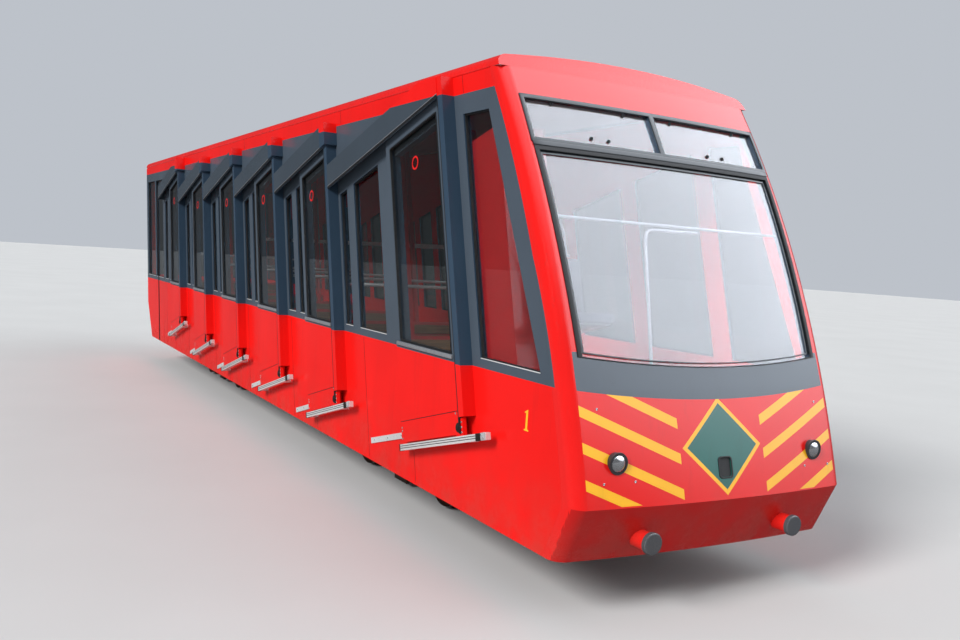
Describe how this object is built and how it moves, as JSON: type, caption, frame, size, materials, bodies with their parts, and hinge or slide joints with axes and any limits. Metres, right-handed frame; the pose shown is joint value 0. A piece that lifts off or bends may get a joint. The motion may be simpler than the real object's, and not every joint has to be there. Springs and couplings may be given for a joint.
{
  "type": "funicular railway car with stepped floor and sliding doors",
  "caption": "Funicular railway car with a slanted body, stepped floor, sliding doors along one side, raked windscreen and two bogies.",
  "frame": {"origin": "on the plane under the wheel flanges, on the centre line between the wheels, 7 m behind the headlamps' plane", "axes": "+X along the track towards the downhill end, +Y across to the side without doors, +Z square to the track. The floors and doors are level when the track climbs at 15.3 degrees, so they are tilted in this frame."},
  "size_m": [14.3305, 2.43, 3.6398],
  "materials": {
    "aluminium": "satin",
    "bench_frame": "gloss",
    "bench_wood": "varnished",
    "cabinet_red": "gloss",
    "chrome": "polished",
    "clear_glass": "polished",
    "dark_steel": "worn",
    "floor_sheet": "matt",
    "frame_paint": "satin",
    "grey_paint": "satin",
    "red_paint": "gloss",
    "seat_cloth": "woven"
  },
  "bodies": {
    "car_body": {"bench_slats": "bench_wood", "benches": "bench_frame", "buffers": "frame_paint", "cab_cabinet": "cabinet_red", "door_covers": "grey_paint", "door_posts": "grey_paint", "door_rails": "aluminium", "driver_seat": "seat_cloth", "floor_steps": "floor_sheet", "front_glass": "clear_glass", "guard_posts": "cabinet_red", "guard_rails": "aluminium", "hatch_cover": "frame_paint", "headlamps": "chrome", "lamp_glass": "clear_glass", "lower_wall_left": "red_paint", "lower_wall_right": "red_paint", "nose_frame": "red_paint", "nose_panel": "red_paint", "rear_glass": "clear_glass", "roof": "red_paint", "rope_clevis": "dark_steel", "side_glass_left": "clear_glass", "side_glass_right": "clear_glass", "tail_lamps": "frame_paint", "tail_wall": "red_paint", "underframe": "frame_paint", "upper_wall_left": "grey_paint", "upper_wall_right": "grey_paint", "window_bar": "aluminium"},
    "door_leaf_1": {"door_1": "red_paint", "door_glass_1": "clear_glass"},
    "door_leaf_2": {"door_2": "red_paint", "door_glass_2": "clear_glass"},
    "door_leaf_3": {"door_3": "red_paint", "door_glass_3": "clear_glass"},
    "door_leaf_4": {"door_4": "red_paint", "door_glass_4": "clear_glass"},
    "door_leaf_5": {"door_5": "red_paint", "door_glass_5": "clear_glass"},
    "door_leaf_6": {"door_6": "red_paint", "door_glass_6": "clear_glass"},
    "bogie_front": {"bogie_front": "frame_paint", "rail_brakes_front": "dark_steel"},
    "bogie_rear": {"bogie_rear": "frame_paint", "rail_brakes_rear": "dark_steel"},
    "wheelset_1": {"axle_1": "dark_steel"},
    "wheelset_2": {"axle_2": "dark_steel"},
    "wheelset_3": {"axle_3": "dark_steel"},
    "wheelset_4": {"axle_4": "dark_steel"}
  },
  "joints": [
    {"name": "door_1_slide", "type": "slide", "parent": "car_body", "child": "door_leaf_1", "axis": [-0.9646, 0, -0.2639], "range_m": [0, 0.84]},
    {"name": "door_2_slide", "type": "slide", "parent": "car_body", "child": "door_leaf_2", "axis": [-0.9646, 0, -0.2639], "range_m": [0, 0.64]},
    {"name": "door_3_slide", "type": "slide", "parent": "car_body", "child": "door_leaf_3", "axis": [-0.9646, 0, -0.2639], "range_m": [0, 0.64]},
    {"name": "door_4_slide", "type": "slide", "parent": "car_body", "child": "door_leaf_4", "axis": [-0.9646, 0, -0.2639], "range_m": [0, 0.64]},
    {"name": "door_5_slide", "type": "slide", "parent": "car_body", "child": "door_leaf_5", "axis": [-0.9646, 0, -0.2639], "range_m": [0, 0.64]},
    {"name": "door_6_slide", "type": "slide", "parent": "car_body", "child": "door_leaf_6", "axis": [-0.9646, 0, -0.2639], "range_m": [0, 0.64]},
    {"name": "bogie_front_yaw", "type": "hinge", "parent": "car_body", "child": "bogie_front", "pos_m": [3.52241, 0, 0.4], "axis": [0, 0, 1], "range_deg": [-4, 4]},
    {"name": "wheelset_1_spin", "type": "hinge", "parent": "bogie_front", "child": "wheelset_1", "pos_m": [4.35241, 0, 0.305], "axis": [0, 1, 0], "continuous": true},
    {"name": "wheelset_2_spin", "type": "hinge", "parent": "bogie_front", "child": "wheelset_2", "pos_m": [2.69241, 0, 0.305], "axis": [0, 1, 0], "continuous": true},
    {"name": "bogie_rear_yaw", "type": "hinge", "parent": "car_body", "child": "bogie_rear", "pos_m": [-3.11275, 0, 0.4], "axis": [0, 0, 1], "range_deg": [-4, 4]},
    {"name": "wheelset_3_spin", "type": "hinge", "parent": "bogie_rear", "child": "wheelset_3", "pos_m": [-2.28275, 0, 0.305], "axis": [0, 1, 0], "continuous": true},
    {"name": "wheelset_4_spin", "type": "hinge", "parent": "bogie_rear", "child": "wheelset_4", "pos_m": [-3.94275, 0, 0.305], "axis": [0, 1, 0], "continuous": true}
  ]
}
